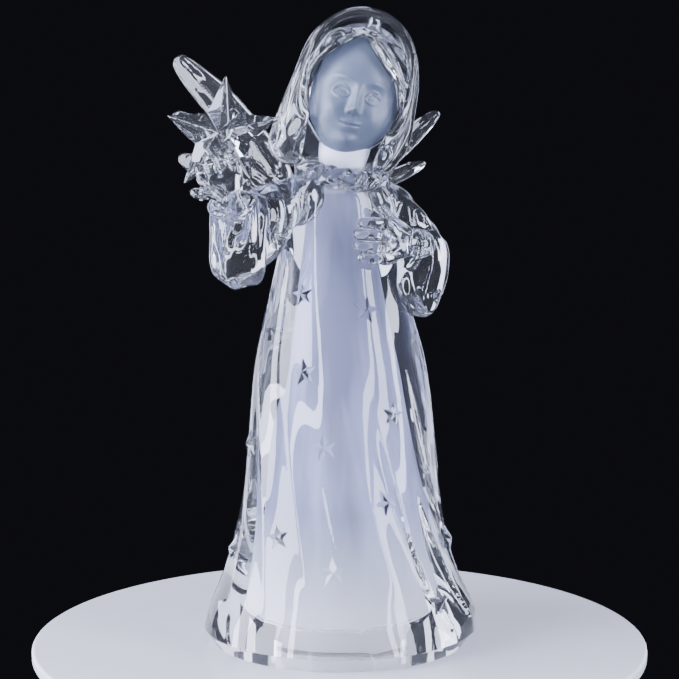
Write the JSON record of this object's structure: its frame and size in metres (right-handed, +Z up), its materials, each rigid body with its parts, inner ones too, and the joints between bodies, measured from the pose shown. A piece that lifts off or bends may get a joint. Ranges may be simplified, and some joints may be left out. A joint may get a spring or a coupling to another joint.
{
  "type": "angel figurine",
  "caption": "Clear cast angel in a hooded gown holding up a faceted star, with a frosted core and face and a battery light unit in its base.",
  "frame": {"origin": "centre of the circle on the table that the foot stands on", "axes": "+Z up, -Y the way that the gown faces, -X towards her right arm, which holds the star"},
  "size_m": [0.1141, 0.0934, 0.2156],
  "materials": {
    "clear_resin": "polished clear",
    "frosted_resin": "frosted",
    "cap_plastic": "moulded satin",
    "cell_steel": "satin",
    "screw_steel": "bright zinc",
    "contact_metal": "nickel plate",
    "circuit_board": "solder mask",
    "lamp_lens": "water clear",
    "switch_plastic": "satin",
    "knob_plastic": "satin",
    "wire_jacket": "satin"
  },
  "bodies": {
    "figurine": {"gown": "clear_resin", "frosted_core": "frosted_resin", "collar": "clear_resin", "head": "frosted_resin", "face": "frosted_resin", "hair": "clear_resin", "hood": "clear_resin", "right_sleeve": "clear_resin", "right_hand": "clear_resin", "star": "clear_resin", "left_sleeve": "clear_resin", "left_hand": "clear_resin", "right_wing": "clear_resin", "left_wing": "clear_resin", "base_cap": "cap_plastic", "button_cells": "cell_steel", "contact_spring": "contact_metal", "contact_plate": "contact_metal", "led_board": "circuit_board", "led_lamp": "lamp_lens", "board_screws": "screw_steel", "switch_body": "switch_plastic", "lead_wires": "wire_jacket"},
    "battery_door": {"battery_door": "cap_plastic", "door_screw": "screw_steel"},
    "switch_knob": {"switch_knob": "knob_plastic"}
  },
  "joints": [
    {"name": "battery_door_lift", "type": "slide", "parent": "figurine", "child": "battery_door", "axis": [0, 0, -1], "range_m": [0, 0.02]},
    {"name": "switch_slide", "type": "slide", "parent": "figurine", "child": "switch_knob", "axis": [1, 0, 0], "range_m": [0, 0.0024]}
  ]
}
